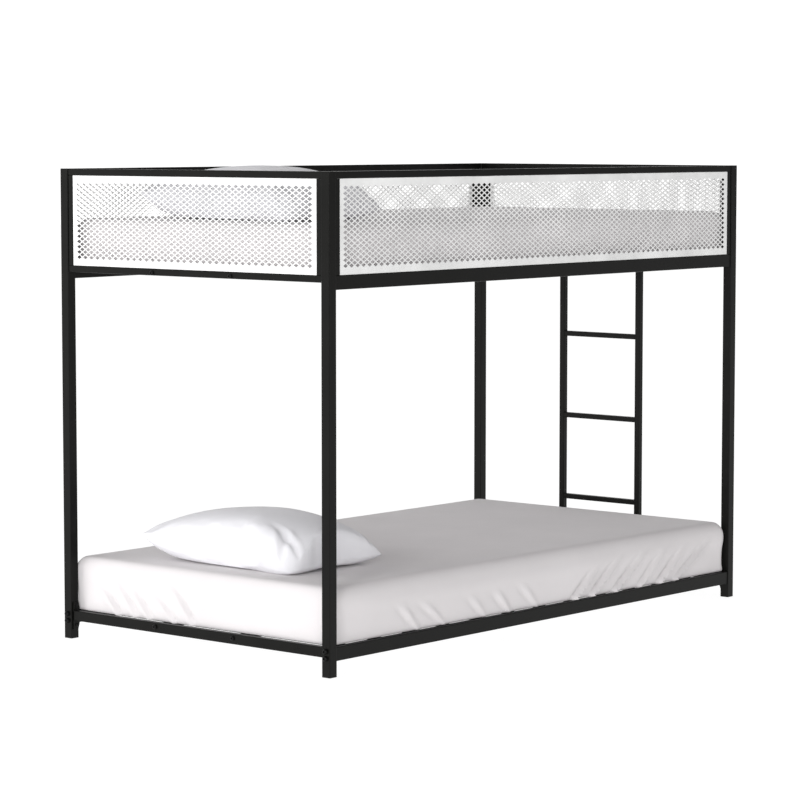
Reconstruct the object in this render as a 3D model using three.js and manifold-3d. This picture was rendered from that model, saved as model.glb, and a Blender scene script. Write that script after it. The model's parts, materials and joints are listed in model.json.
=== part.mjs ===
// Steel bunk bed: two sleeping decks between four square posts, perforated guards round the
// upper deck and a ladder built into the foot end.
// Millimetres, +Z up. +X is the foot end, -Y the front. The origin is on the floor, under the
// middle of the bed.
import * as THREE from "three";
import { mergeVertices } from "three/addons/utils/BufferGeometryUtils.js";
import Module from "manifold-3d";

const wasm = await Module();
wasm.setup();

// Driving sizes of the frame
const LENGTH = 1968;
const WIDTH = 1060;
const HEIGHT = 1396;
const POST = 30;
const TUBE = 20;
const STILE_WIDTH = 19;
const LONG_RAIL_HEIGHT = 40;
const LOWER_END_RAIL_HEIGHT = 30;
const DECK_TOP = 1112;
const LOWER_TOP = 84;
const FRAME_RECESS = 3;
const LOWER_END_RECESS = 8;
const WALL = 1.5;
const TUBE_CORNER = 2;
const JOINT_GAP = 0.3;

// Facets of the small curves
const TUBE_CORNER_FACETS = 1;
const HOLE_FACETS = 12;
const HEAD_FACETS = 16;
const SHANK_FACETS = 8;
const SOCKET_FACETS = 6;

// Guards, ladder and slats
const PANEL_THICKNESS = 1.5;
const PANEL_SETBACK = 1;
const LADDER_SPACING = 312;
const RUNG_COUNT = 3;
const RUNG_RISE = 275;
const RUNG_HEIGHT = 17;
const RUNG_DEPTH = 18;
const BAR_SPACING = 310;
const BAR_WIDTH = 25;
const BAR_HEIGHT = 15;
const SLAT_COUNT = 13;
const SLAT_WIDTH = 40;
const SLAT_HEIGHT = 5;
const END_SLAT_INSET = 45;
const LEDGE_WIDTH = 14;
const LEDGE_THICKNESS = 2;
const SLAT_END_CLEARANCE = 1;
const EMBED = 0.2;

// Ear plates, feet and bolts
const EAR = { width: 24, height: 81, below: 27, thickness: 4, taper: 5, taperRise: 16 };
const FOOT = { flange: 3, plug: 22, clearance: 0.3 };
const FRAME_BOLT = { headRadius: 7.5, headHeight: 9, shankRadius: 3.8, shank: 52, socket: 5 };
const BAR_BOLT = { headRadius: 7, headHeight: 6, shankRadius: 2.8, shank: 44, socket: 3.5 };
const BOLT_PITCH = 20;
const HOLE_CLEARANCE = 0.4;
const SOCKET_ACROSS_CORNERS = 6.6;

// Bedding
const MATTRESS_LENGTH = 1903;
const UPPER_MATTRESS = { width: 1006, thickness: 138 };
const LOWER_MATTRESS = { width: 1026, thickness: 162 };
const MATTRESS_CORNER = 45;
const MATTRESS_EDGE = 22;
const MATTRESS_FACETS = 2;
const PILLOW = { x: -700, y: -8, halfX: 190, halfY: 303, above: 98, below: 58, squareness: 3.2 };
const PILLOW_FLATNESS = 1.25;
const PILLOW_FACETS = { round: 24, up: 10 };

const HALF_X = LENGTH / 2;
const HALF_Y = WIDTH / 2;
const INNER_X = HALF_X - POST;
const INNER_Y = HALF_Y - POST;

const bed = new THREE.Group();

// Finishes
const finish = (color, roughness, metalness) =>
  new THREE.MeshStandardMaterial({ color, roughness, metalness });
const powderCoat = finish(0x1f1f1d, 0.45, 0.2);
const whiteSheet = finish(0xf2f2f2, 0.5, 0.1);
const boltBlack = finish(0x141414, 0.4, 0.6);
const plasticBlack = finish(0x101010, 0.7, 0);
const cotton = finish(0xf4f3f2, 0.9, 0);

// Directions in which a length of tube can run. Across and up stay level and upright.
const AXES = {
  x: [new THREE.Vector3(0, 1, 0), new THREE.Vector3(0, 0, 1), new THREE.Vector3(1, 0, 0)],
  y: [new THREE.Vector3(-1, 0, 0), new THREE.Vector3(0, 0, 1), new THREE.Vector3(0, 1, 0)],
  z: [new THREE.Vector3(1, 0, 0), new THREE.Vector3(0, 1, 0), new THREE.Vector3(0, 0, 1)],
};

function turned(geometry, direction) {
  return geometry.applyMatrix4(new THREE.Matrix4().makeBasis(...AXES[direction]));
}

function solidOf(geometry) {
  const bare = new THREE.BufferGeometry();
  const source = geometry.index ? geometry.toNonIndexed() : geometry;
  bare.setAttribute("position", source.getAttribute("position"));
  const merged = mergeVertices(bare, 1e-3);
  return new wasm.Manifold(
    new wasm.Mesh({
      numProp: 3,
      vertProperties: merged.attributes.position.array,
      triVerts: new Uint32Array(merged.index.array),
    }),
  );
}

function geometryOf(solid) {
  const mesh = solid.getMesh();
  const geometry = new THREE.BufferGeometry();
  geometry.setAttribute("position", new THREE.BufferAttribute(mesh.vertProperties, 3));
  geometry.setIndex(new THREE.BufferAttribute(mesh.triVerts, 1));
  geometry.computeVertexNormals();
  return geometry;
}

function add(name, geometry, material, x, y, z) {
  const mesh = new THREE.Mesh(geometry, material);
  mesh.name = name;
  mesh.position.set(x, y, z);
  bed.add(mesh);
}

function roundedRectangle(across, up, radius) {
  const outline = new THREE.Shape();
  const x = across / 2 - radius;
  const y = up / 2 - radius;
  outline.absarc(x, y, radius, 0, Math.PI / 2);
  outline.absarc(-x, y, radius, Math.PI / 2, Math.PI);
  outline.absarc(-x, -y, radius, Math.PI, 1.5 * Math.PI);
  outline.absarc(x, -y, radius, 1.5 * Math.PI, 2 * Math.PI);
  outline.closePath();
  return outline;
}

// A rounded square block standing on Z = 0, as a post's lid or a foot's flange.
function postBlock(height) {
  const options = { depth: height, bevelEnabled: false, curveSegments: TUBE_CORNER_FACETS };
  return new THREE.ExtrudeGeometry(roundedRectangle(POST, POST, TUBE_CORNER), options);
}

function rectangle(Kind, halfAcross, halfUp) {
  const outline = new Kind();
  outline.moveTo(-halfAcross, -halfUp);
  outline.lineTo(halfAcross, -halfUp);
  outline.lineTo(halfAcross, halfUp);
  outline.lineTo(-halfAcross, halfUp);
  outline.closePath();
  return outline;
}

// A length of square or rectangular tube with open ends, centred on its own middle.
function tube(direction, length, across, up, corner = TUBE_CORNER) {
  const outer = corner ? roundedRectangle(across, up, corner) : rectangle(THREE.Shape, across / 2, up / 2);
  outer.holes.push(rectangle(THREE.Path, across / 2 - WALL, up / 2 - WALL));
  const options = { depth: length, bevelEnabled: false, curveSegments: TUBE_CORNER_FACETS };
  return turned(new THREE.ExtrudeGeometry(outer, options).translate(0, 0, -length / 2), direction);
}

function box(x, y, z) {
  return new THREE.BoxGeometry(x, y, z);
}

function rod(direction, radius, length, sides = HOLE_FACETS) {
  const cylinder = new THREE.CylinderGeometry(radius, radius, length, sides);
  return turned(cylinder.rotateX(Math.PI / 2), direction);
}

const boltHeights = [-BOLT_PITCH / 2, BOLT_PITCH / 2].map((z) => LOWER_TOP - LONG_RAIL_HEIGHT / 2 + z);
const ends = [
  { name: "head", side: -1 },
  { name: "foot", side: 1 },
];
const sides = [
  { name: "front", side: -1 },
  { name: "back", side: 1 },
];

// Posts: a tube closed at the top, drilled along the bed for the lower rail's bolts.
function postSolid() {
  const bottom = FOOT.flange + JOINT_GAP;
  const length = HEIGHT - WALL - bottom;
  let post = solidOf(tube("z", length, POST, POST).translate(0, 0, bottom + length / 2));
  post = post.add(solidOf(postBlock(WALL + EMBED).translate(0, 0, HEIGHT - WALL - EMBED)));
  for (const z of boltHeights) {
    const hole = rod("x", FRAME_BOLT.shankRadius + HOLE_CLEARANCE, POST * 2).translate(0, 0, z);
    post = post.subtract(solidOf(hole));
  }
  return post;
}

function footSolid() {
  const plugSize = POST - 2 * WALL - 2 * FOOT.clearance;
  const plug = box(plugSize, plugSize, FOOT.plug + EMBED);
  plug.translate(0, 0, FOOT.flange - EMBED + (FOOT.plug + EMBED) / 2);
  return solidOf(postBlock(FOOT.flange)).add(solidOf(plug));
}

const postGeometry = geometryOf(postSolid());
const footGeometry = geometryOf(footSolid());
for (const end of ends) {
  for (const side of sides) {
    const x = end.side * (HALF_X - POST / 2);
    const y = side.side * (HALF_Y - POST / 2);
    add(`${end.name}_${side.name}_post`, postGeometry, powderCoat, x, y, 0);
    add(`${end.name}_${side.name}_foot`, footGeometry, plasticBlack, x, y, 0);
  }
}

// Long rails, one each side of each deck, with a ledge inside that the slat ends lie on.
function longRail(deckTop, inward) {
  const length = 2 * (INNER_X - JOINT_GAP);
  const ledgeTop = deckTop - SLAT_HEIGHT - JOINT_GAP;
  const ledge = box(length, LEDGE_WIDTH + EMBED, LEDGE_THICKNESS);
  const ledgeY = inward * (TUBE / 2 + (LEDGE_WIDTH - EMBED) / 2);
  const railMiddle = deckTop - LONG_RAIL_HEIGHT / 2;
  ledge.translate(0, ledgeY, ledgeTop - LEDGE_THICKNESS / 2 - railMiddle);
  return geometryOf(solidOf(tube("x", length, TUBE, LONG_RAIL_HEIGHT)).add(solidOf(ledge)));
}

const railY = HALF_Y - FRAME_RECESS - TUBE / 2;
const frameX = HALF_X - FRAME_RECESS - TUBE / 2;
for (const side of sides) {
  for (const [level, top] of [["upper", DECK_TOP], ["lower", LOWER_TOP]]) {
    const z = top - LONG_RAIL_HEIGHT / 2;
    add(`${level}_${side.name}_rail`, longRail(top, -side.side), powderCoat, 0, side.side * railY, z);
  }
}

// End rails. Each is drilled for the two bolts that hold the slat base's lengthwise bars.
const barOffsets = [
  { name: "front", y: -BAR_SPACING / 2 },
  { name: "back", y: BAR_SPACING / 2 },
];
const slatTop = (deckTop) => deckTop - JOINT_GAP / 2;
const barDrop = SLAT_HEIGHT - EMBED + BAR_HEIGHT / 2;
const barMiddle = (deckTop) => slatTop(deckTop) - barDrop;

function endRail(height, boltRise) {
  let rail = solidOf(tube("y", 2 * (INNER_Y - JOINT_GAP), TUBE, height));
  for (const bar of barOffsets) {
    const hole = rod("x", BAR_BOLT.shankRadius + HOLE_CLEARANCE, TUBE * 2).translate(0, bar.y, boltRise);
    rail = rail.subtract(solidOf(hole));
  }
  return rail;
}

// The lower end rails carry an ear plate at each end, which is bolted to the post's inner face.
function earPlate(railMiddle) {
  const outline = new THREE.Shape();
  const half = EAR.width / 2;
  const bottom = EAR.below + JOINT_GAP - railMiddle;
  const top = bottom + EAR.height;
  outline.moveTo(-half, bottom);
  outline.lineTo(half - EAR.taper, bottom);
  outline.lineTo(half, bottom + EAR.taperRise);
  outline.lineTo(half, top - EAR.taperRise);
  outline.lineTo(half - EAR.taper, top);
  outline.lineTo(-half, top);
  outline.closePath();
  const options = { depth: EAR.thickness, bevelEnabled: false };
  return new THREE.ExtrudeGeometry(outline, options).rotateX(Math.PI / 2);
}

for (const end of ends) {
  const deckMiddle = DECK_TOP - TUBE / 2;
  const deckRail = geometryOf(endRail(TUBE, barMiddle(DECK_TOP) - deckMiddle));
  add(`${end.name}_deck_rail`, deckRail, powderCoat, end.side * frameX, 0, deckMiddle);

  const lowerMiddle = LOWER_TOP - LOWER_END_RAIL_HEIGHT / 2;
  let lower = endRail(LOWER_END_RAIL_HEIGHT, barMiddle(LOWER_TOP) - lowerMiddle);
  for (const side of sides) {
    const ear = earPlate(lowerMiddle);
    if (end.side > 0) ear.rotateZ(Math.PI).translate(0, -EAR.thickness, 0);
    const outerFace = INNER_Y - JOINT_GAP;
    ear.translate(0, side.side > 0 ? outerFace : EAR.thickness - outerFace, 0);
    lower = lower.add(solidOf(ear));
  }
  const x = end.side * (HALF_X - LOWER_END_RECESS - TUBE / 2);
  add(`${end.name}_lower_rail`, geometryOf(lower), powderCoat, x, 0, lowerMiddle);
}

// Guards: a top rail, two stiles and a perforated sheet stand on each deck rail.
const guardTop = HEIGHT - TUBE / 2;
const stileLength = HEIGHT - TUBE - DECK_TOP - 2 * JOINT_GAP;
const stileMiddle = (HEIGHT - TUBE + DECK_TOP) / 2;
const panelInset = FRAME_RECESS + PANEL_SETBACK + PANEL_THICKNESS / 2;
const panelHeight = stileLength;

for (const end of ends) {
  const x = end.side * frameX;
  const topRail = tube("y", 2 * (INNER_Y - JOINT_GAP), TUBE, TUBE);
  add(`${end.name}_guard_top_rail`, topRail, powderCoat, x, 0, guardTop);
  for (const side of sides) {
    const y = side.side * (INNER_Y - JOINT_GAP - STILE_WIDTH / 2);
    const stile = tube("z", stileLength, TUBE, STILE_WIDTH);
    add(`${end.name}_guard_${side.name}_stile`, stile, powderCoat, x, y, stileMiddle);
  }
  const panelWidth = 2 * (INNER_Y - STILE_WIDTH - 2 * JOINT_GAP);
  const panel = box(PANEL_THICKNESS, panelWidth, panelHeight);
  add(`${end.name}_guard_panel`, panel, whiteSheet, end.side * (HALF_X - panelInset), 0, stileMiddle);
}

for (const side of sides) {
  const y = side.side * railY;
  const topRail = tube("x", 2 * (INNER_X - JOINT_GAP), TUBE, TUBE);
  add(`${side.name}_guard_top_rail`, topRail, powderCoat, 0, y, guardTop);
  for (const end of ends) {
    const x = end.side * (INNER_X - JOINT_GAP - STILE_WIDTH / 2);
    const stile = tube("z", stileLength, STILE_WIDTH, TUBE);
    add(`${side.name}_guard_${end.name}_stile`, stile, powderCoat, x, y, stileMiddle);
  }
  const panelLength = 2 * (INNER_X - STILE_WIDTH - 2 * JOINT_GAP);
  const panel = box(panelLength, PANEL_THICKNESS, panelHeight);
  add(`${side.name}_guard_panel`, panel, whiteSheet, 0, side.side * (HALF_Y - panelInset), stileMiddle);
}

// Ladder: two rails between the foot end's rails, and three rungs at one spacing with the deck.
const ladderBottom = LOWER_TOP + JOINT_GAP;
const ladderTop = DECK_TOP - TUBE - JOINT_GAP;
for (const side of sides) {
  const y = (side.side * LADDER_SPACING) / 2;
  const rail = tube("z", ladderTop - ladderBottom, TUBE, TUBE);
  add(`ladder_${side.name}_rail`, rail, powderCoat, frameX, y, (ladderTop + ladderBottom) / 2);
}
for (let step = 1; step <= RUNG_COUNT; step += 1) {
  const rung = tube("y", LADDER_SPACING - TUBE - 2 * JOINT_GAP, RUNG_DEPTH, RUNG_HEIGHT);
  const top = DECK_TOP - (RUNG_COUNT + 1 - step) * RUNG_RISE;
  add(`ladder_rung_${step}`, rung, powderCoat, frameX, 0, top - RUNG_HEIGHT / 2);
}

// Slat bases: two lengthwise bars with pressed-steel channel slats welded across them.
function slat(length) {
  const half = SLAT_WIDTH / 2;
  const lip = half - WALL;
  const section = new THREE.Shape();
  section.moveTo(-half, -SLAT_HEIGHT);
  section.lineTo(-lip, -SLAT_HEIGHT);
  section.lineTo(-lip, -WALL);
  section.lineTo(lip, -WALL);
  section.lineTo(lip, -SLAT_HEIGHT);
  section.lineTo(half, -SLAT_HEIGHT);
  section.lineTo(half, 0);
  section.lineTo(-half, 0);
  section.closePath();
  const options = { depth: length, bevelEnabled: false };
  return turned(new THREE.ExtrudeGeometry(section, options).translate(0, 0, -length / 2), "y");
}

function slatBase(barLength) {
  const slatLength = 2 * (railY - TUBE / 2 - SLAT_END_CLEARANCE);
  const pitch = (barLength - 2 * END_SLAT_INSET) / (SLAT_COUNT - 1);
  let base = null;
  for (let i = 0; i < SLAT_COUNT; i += 1) {
    const x = (i - (SLAT_COUNT - 1) / 2) * pitch;
    const piece = solidOf(slat(slatLength).translate(x, 0, 0));
    base = base ? base.add(piece) : piece;
  }
  for (const bar of barOffsets) {
    base = base.add(solidOf(tube("x", barLength, BAR_WIDTH, BAR_HEIGHT, 0).translate(0, bar.y, -barDrop)));
  }
  return geometryOf(base);
}

const upperBarLength = 2 * (frameX - TUBE / 2 - JOINT_GAP);
const lowerBarLength = 2 * (HALF_X - LOWER_END_RECESS - TUBE - JOINT_GAP);
add("upper_slat_base", slatBase(upperBarLength), powderCoat, 0, 0, slatTop(DECK_TOP));
add("lower_slat_base", slatBase(lowerBarLength), powderCoat, 0, 0, slatTop(LOWER_TOP));

// Bolts with a hexagon socket, the shank pointing along +X from under the head.
function bolt(size) {
  const head = rod("x", size.headRadius, size.headHeight, HEAD_FACETS).translate(-size.headHeight / 2, 0, 0);
  const shank = rod("x", size.shankRadius, size.shank + EMBED, SHANK_FACETS);
  shank.translate((size.shank - EMBED) / 2, 0, 0);
  const socket = rod("x", SOCKET_ACROSS_CORNERS / 2, 2 * size.socket, SOCKET_FACETS);
  socket.translate(-size.headHeight, 0, 0);
  return solidOf(head).add(solidOf(shank)).subtract(solidOf(socket));
}

const frameBolt = geometryOf(bolt(FRAME_BOLT));
const barBolt = geometryOf(bolt(BAR_BOLT));

function addBolt(name, geometry, end, x, y, z) {
  const mesh = new THREE.Mesh(geometry, boltBlack);
  mesh.name = name;
  mesh.position.set(end.side * x, y, z);
  mesh.rotation.z = end.side > 0 ? Math.PI : 0;
  bed.add(mesh);
}

for (const end of ends) {
  for (const side of sides) {
    boltHeights.forEach((z, i) => {
      const name = `${end.name}_${side.name}_rail_bolt_${i + 1}`;
      addBolt(name, frameBolt, end, HALF_X + JOINT_GAP, side.side * (HALF_Y - POST / 2), z);
    });
  }
  for (const bar of barOffsets) {
    const upperX = HALF_X - FRAME_RECESS + JOINT_GAP;
    const lowerX = HALF_X - LOWER_END_RECESS + JOINT_GAP;
    addBolt(`${end.name}_upper_${bar.name}_bar_bolt`, barBolt, end, upperX, bar.y, barMiddle(DECK_TOP));
    addBolt(`${end.name}_lower_${bar.name}_bar_bolt`, barBolt, end, lowerX, bar.y, barMiddle(LOWER_TOP));
  }
}

// Mattresses: a soft block with rounded corners and edges.
function mattress(size) {
  const outline = roundedRectangle(
    MATTRESS_LENGTH - 2 * MATTRESS_EDGE,
    size.width - 2 * MATTRESS_EDGE,
    MATTRESS_CORNER,
  );
  const options = {
    depth: size.thickness - 2 * MATTRESS_EDGE,
    bevelEnabled: true,
    bevelThickness: MATTRESS_EDGE,
    bevelSize: MATTRESS_EDGE,
    bevelSegments: MATTRESS_FACETS,
    curveSegments: MATTRESS_FACETS,
  };
  return new THREE.ExtrudeGeometry(outline, options).translate(0, 0, MATTRESS_EDGE);
}

// Pillows: a rounded oblong, fuller on top and flat where it lies.
function pillow() {
  const ball = new THREE.SphereGeometry(1, PILLOW_FACETS.round, PILLOW_FACETS.up);
  const geometry = ball.rotateX(Math.PI / 2);
  const position = geometry.getAttribute("position");
  const point = new THREE.Vector3();
  for (let i = 0; i < position.count; i += 1) {
    point.fromBufferAttribute(position, i);
    const reach = Math.hypot(point.x, point.y);
    const angle = Math.atan2(point.y, point.x);
    const across = Math.abs(Math.cos(angle)) ** PILLOW.squareness;
    const along = Math.abs(Math.sin(angle)) ** PILLOW.squareness;
    const outline = reach / (across + along) ** (1 / PILLOW.squareness);
    const drop = PILLOW.below * Math.max(-1, PILLOW_FLATNESS * point.z);
    const rise = point.z > 0 ? PILLOW.above * point.z : drop;
    position.setXYZ(
      i,
      PILLOW.halfX * outline * Math.cos(angle),
      PILLOW.halfY * outline * Math.sin(angle),
      PILLOW.below + rise,
    );
  }
  return geometryOf(solidOf(geometry));
}

for (const [level, top, size] of [
  ["upper", DECK_TOP, UPPER_MATTRESS],
  ["lower", LOWER_TOP, LOWER_MATTRESS],
]) {
  const mattressBottom = top + JOINT_GAP;
  const mattressTop = mattressBottom + size.thickness;
  add(`${level}_mattress`, mattress(size), cotton, 0, 0, mattressBottom);
  add(`${level}_pillow`, pillow(), cotton, PILLOW.x, PILLOW.y, mattressTop + JOINT_GAP);
}

export default bed;
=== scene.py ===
"""Steel bunk bed: a ladder in its foot end, perforated guards round the upper deck, and bedding.

Lengths are in metres. The head end is towards -X, the front towards -Y and the floor at Z = 0.
"""

import json
import math
import random
from itertools import product

import bmesh
import bpy
import numpy as np
from bpy.props import FloatProperty, FloatVectorProperty, IntProperty, PointerProperty
from mathutils import Matrix, Vector, noise

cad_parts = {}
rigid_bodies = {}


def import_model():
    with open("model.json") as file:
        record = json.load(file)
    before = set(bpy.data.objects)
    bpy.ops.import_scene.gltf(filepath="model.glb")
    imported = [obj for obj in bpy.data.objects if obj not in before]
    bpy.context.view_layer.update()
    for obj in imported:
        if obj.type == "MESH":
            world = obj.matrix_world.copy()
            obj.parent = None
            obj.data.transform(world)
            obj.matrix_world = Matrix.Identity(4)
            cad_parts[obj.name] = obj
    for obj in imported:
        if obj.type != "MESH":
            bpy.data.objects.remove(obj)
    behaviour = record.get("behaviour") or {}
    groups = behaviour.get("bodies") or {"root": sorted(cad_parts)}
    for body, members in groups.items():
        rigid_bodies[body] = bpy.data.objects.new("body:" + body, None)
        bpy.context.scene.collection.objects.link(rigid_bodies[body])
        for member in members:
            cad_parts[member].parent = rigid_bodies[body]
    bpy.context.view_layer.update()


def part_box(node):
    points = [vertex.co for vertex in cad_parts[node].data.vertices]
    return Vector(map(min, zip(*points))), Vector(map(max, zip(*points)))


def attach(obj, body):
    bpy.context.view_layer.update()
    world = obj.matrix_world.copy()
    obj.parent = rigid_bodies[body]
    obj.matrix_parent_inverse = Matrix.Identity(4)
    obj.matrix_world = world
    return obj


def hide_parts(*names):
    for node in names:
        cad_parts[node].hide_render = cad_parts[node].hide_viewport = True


bl_info = {
    "name": "Bunk bed with ladder",
    "version": (1, 0, 0),
    "blender": (4, 5, 0),
    "location": "3D View > Sidebar > Bunk bed",
    "description": "Finishes a steel bunk bed: tubes, perforated guards, slats, bolts and bedding",
    "category": "Add Mesh",
}

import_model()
ENDS = (("head", -1), ("foot", 1))
SIDES = (("front", -1), ("back", 1))
QUARTER_TURN = math.pi / 2
CORNER_STEPS = 4  # faces round each corner of a tube
WHITE = (1.0, 1.0, 1.0)


# Sizes and colours that a user would change


class BedSteelSettings(bpy.types.PropertyGroup):
    corner_radius: FloatProperty(
        name="Corner radius", description="Outside radius along the edges of the square tubes",
        default=0.0022, min=0.0005, unit="LENGTH")
    tube_size: FloatProperty(
        name="Tube size", description="Width across the rails' square tube",
        default=0.020, unit="LENGTH")
    wall: FloatProperty(
        name="Wall", description="Thickness of the tubes' wall", default=0.0015, unit="LENGTH")
    coat_colour: FloatVectorProperty(
        name="Coat colour", description="Colour of the powder coat on the frame",
        default=(0.0052, 0.0052, 0.0046), subtype="COLOR")
    coat_roughness: FloatProperty(
        name="Coat roughness", description="How matt the powder coat is",
        default=0.30, subtype="FACTOR")
    slat_count: IntProperty(name="Slats", description="Slats across each deck", default=13, min=2)
    slat_width: FloatProperty(
        name="Slat width", description="Width of one pressed slat", default=0.040, unit="LENGTH")


class BedGuardSettings(bpy.types.PropertyGroup):
    pitch_along: FloatProperty(
        name="Pitch along", description="Distance between neighbouring holes in one row",
        default=0.0253, unit="LENGTH")
    pitch_up: FloatProperty(
        name="Pitch up", description="Distance between one row and the next but one",
        default=0.0153, unit="LENGTH")
    openness: FloatProperty(
        name="Openness", description="Width of a hole as a share of its cell's width",
        default=0.78, subtype="FACTOR")
    colour: FloatVectorProperty(
        name="Sheet colour", description="Colour of the perforated sheet",
        default=(0.80, 0.80, 0.795), subtype="COLOR")


class BedBeddingSettings(bpy.types.PropertyGroup):
    mattress_colour: FloatVectorProperty(
        name="Sheet cotton", description="Colour of the fitted cover on the mattress",
        default=(0.722, 0.695, 0.703), subtype="COLOR")
    pillow_colour: FloatVectorProperty(
        name="Pillow cotton", description="Colour of the pillowcase",
        default=(0.80, 0.795, 0.825), subtype="COLOR")
    cover_push: FloatProperty(
        name="Cover push", description="Push of the foam against its cover", default=0.25)
    cover_cell: FloatProperty(
        name="Cover cell", description="Size of the faces that a mattress cover is simulated with",
        default=0.0145, unit="LENGTH")
    slack: FloatProperty(
        name="Slack", default=0.07, subtype="FACTOR",
        description="Spare cloth low on the mattress cover, as a share of its length")
    pillow_width: FloatProperty(
        name="Pillow cut width", description="Flat width of the pillow",
        default=0.43, unit="LENGTH")
    pillow_length: FloatProperty(
        name="Pillow cut length", description="Flat length of the pillow",
        default=0.665, unit="LENGTH")


class BedStageSettings(bpy.types.PropertyGroup):
    floor_colour: FloatVectorProperty(
        name="Floor colour", description="Colour of the plain floor",
        default=(0.2, 0.2, 0.2), subtype="COLOR")
    key_power: FloatProperty(
        name="Key power", description="Power of the soft lamp on the head end's side",
        default=185.0, unit="POWER")
    edge_power: FloatProperty(
        name="Edge power", description="Power of the narrow lamp that draws the tubes' edges",
        default=190.0, unit="POWER")
    side_power: FloatProperty(
        name="Side power", default=235.0, unit="POWER",
        description="Power of the lamp that grazes the front and brings out the folds")
    room_light: FloatProperty(
        name="Room light", description="Strength of the even light all round", default=1.15)
    dim_side: FloatProperty(
        name="Dim side", default=0.2, subtype="FACTOR",
        description="Light from beyond the foot end's front, as a share of the rest")
    overhead: FloatProperty(
        name="Overhead", default=0.3, subtype="FACTOR",
        description="Light from straight above, as a share of the light from the sides")


# Nodes


class Wiring:
    """Adds nodes to one tree, each with its inputs given as values or as sockets to link from."""

    def __init__(self, tree):
        self.tree = tree

    def put(self, node, values):
        for key, value in values.items():
            if isinstance(value, bpy.types.NodeSocket):
                self.tree.links.new(value, node.inputs[key])
            else:
                node.inputs[key].default_value = value

    def add(self, kind, values=None, **settings):
        node = self.tree.nodes.new(kind)
        for key, value in settings.items():
            setattr(node, key, value)
        self.put(node, values or {})
        return node

    def between(self, value, low, high, start=0.0, stop=1.0):
        """Spreads a value's range from start to stop over the range from low to high."""
        values = {"From Min": start, "From Max": stop, "To Min": low, "To Max": high}
        return self.add("ShaderNodeMapRange", {"Value": value, **values}).outputs["Result"]

    def tones(self, value, first, second, start=0.0, stop=1.0):
        """One colour at the start of a value's range, passing into another at its stop."""
        ramp = self.add("ShaderNodeValToRGB", {"Fac": value})
        low, high = ramp.color_ramp.elements
        low.position, high.position = start, stop
        low.color, high.color = (*first, 1), (*second, 1)
        return ramp.outputs["Color"]


class Finish(Wiring):
    """A material with one shader, and with patterns on the piece's own coordinates."""

    def __init__(self, name):
        self.material = bpy.data.materials.new(name)
        self.material.use_nodes = True
        super().__init__(self.material.node_tree)
        self.tree.nodes.clear()
        self.shader = self.add("ShaderNodeBsdfPrincipled")
        self.add("ShaderNodeOutputMaterial", {"Surface": self.shader.outputs["BSDF"]})
        self.place = self.add("ShaderNodeTexCoord").outputs["Object"]

    def noise(self, scale, detail, roughness=0.5):
        values = {"Vector": self.place, "Scale": scale, "Detail": detail, "Roughness": roughness}
        return self.add("ShaderNodeTexNoise", values).outputs["Fac"]

    def bump(self, height, strength, distance):
        values = {"Height": height, "Strength": strength, "Distance": distance}
        return self.add("ShaderNodeBump", values).outputs["Normal"]

    def shaded(self, values):
        self.put(self.shader, values)
        return self.material


class Pattern(Wiring):
    """A tree for what repeats: its named inputs, and real copies with a material at its end."""

    def __init__(self, name, inputs):
        super().__init__(bpy.data.node_groups.new(name, "GeometryNodeTree"))
        self.tree.is_modifier = True
        sockets = self.tree.interface
        for way in ("INPUT", "OUTPUT"):
            sockets.new_socket("Geometry", in_out=way, socket_type="NodeSocketGeometry")
        self.ids = {}
        for label, kind in inputs.items():
            socket = sockets.new_socket(label, in_out="INPUT", socket_type=f"NodeSocket{kind}")
            self.ids[label] = socket.identifier
        self.given = self.add("NodeGroupInput").outputs

    def copies(self, points, label, **turn):
        """Copies of the object that an input names, one on each point."""
        source = self.add("GeometryNodeObjectInfo", {"Object": self.given[label]})
        values = {"Points": points, "Instance": source.outputs["Geometry"], **turn}
        return self.add("GeometryNodeInstanceOnPoints", values).outputs["Instances"]

    def real(self, geometry):
        node = self.add("GeometryNodeRealizeInstances", {"Geometry": geometry})
        return node.outputs["Geometry"]

    def joined(self, *parts):
        join = self.add("GeometryNodeJoinGeometry")
        for part in parts:
            self.put(join, {"Geometry": part})
        return join.outputs["Geometry"]

    def close(self, geometry):
        values = {"Geometry": self.real(geometry), "Material": self.given["Coat"]}
        coat = self.add("GeometryNodeSetMaterial", values)
        self.add("NodeGroupOutput", {"Geometry": coat.outputs["Geometry"]})
        return self

    def run(self, piece, **values):
        """Runs the tree on a piece with its inputs set by identifier, and keeps the plain mesh."""
        modifier = piece.modifiers.new(self.tree.name, "NODES")
        modifier.node_group = self.tree
        for label, value in values.items():
            modifier[self.ids[label.replace("_", " ")]] = value
        return bake(piece)


# Finishes


def coat_material(name, colour, roughness, shine, wear=0.0):
    """Powder coat: a fine pebbled surface, slightly uneven in gloss, and a little rubbed."""
    finish = Finish(name)
    cloud = finish.noise(9.0, 4.0, 0.6)
    tone = finish.between(cloud, 0.9 - wear, 1.1 + wear, 0.3, 0.7)
    grey = finish.add("ShaderNodeCombineColor", {"Red": tone, "Green": tone, "Blue": tone})
    factor, first, second = 0, 6, 7  # the colour mixer's inputs share their names with others
    tint = finish.add(
        "ShaderNodeMix",
        {factor: 1.0, first: (*colour, 1.0), second: grey.outputs["Color"]},
        data_type="RGBA",
        blend_type="MULTIPLY",
    )
    return finish.shaded({
        "Specular IOR Level": shine,
        "Base Color": tint.outputs[2],
        "Roughness": finish.between(cloud, roughness - 0.07, roughness + 0.07),
        "Normal": finish.bump(finish.noise(420.0, 2.0), 0.12, 0.0006),
    })


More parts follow.
